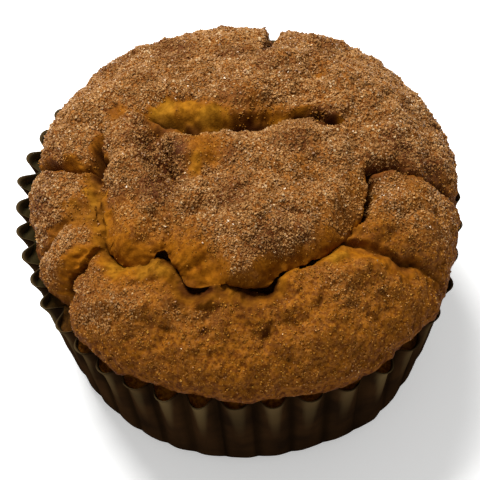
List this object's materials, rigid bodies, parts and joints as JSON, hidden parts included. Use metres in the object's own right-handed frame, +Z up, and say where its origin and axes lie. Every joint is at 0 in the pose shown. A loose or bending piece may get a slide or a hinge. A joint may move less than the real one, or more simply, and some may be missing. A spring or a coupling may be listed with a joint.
{
  "type": "muffin",
  "caption": "Cinnamon sugar muffin with a domed, deeply cracked crown, baked in a dark pleated paper case.",
  "frame": {"origin": "centre of the flat underside of the paper case", "axes": "+Z up through the crown; the long front crevice of the crown faces -Y; +X is to the right seen from the front"},
  "size_m": [0.0716, 0.0714, 0.0463],
  "materials": {
    "sugared_cake": "baked crumb under cinnamon sugar",
    "baking_paper": "dark greaseproof paper, slightly glossy"
  },
  "bodies": {
    "root": {"muffin": "sugared_cake", "paper_case": "baking_paper"}
  },
  "joints": []
}
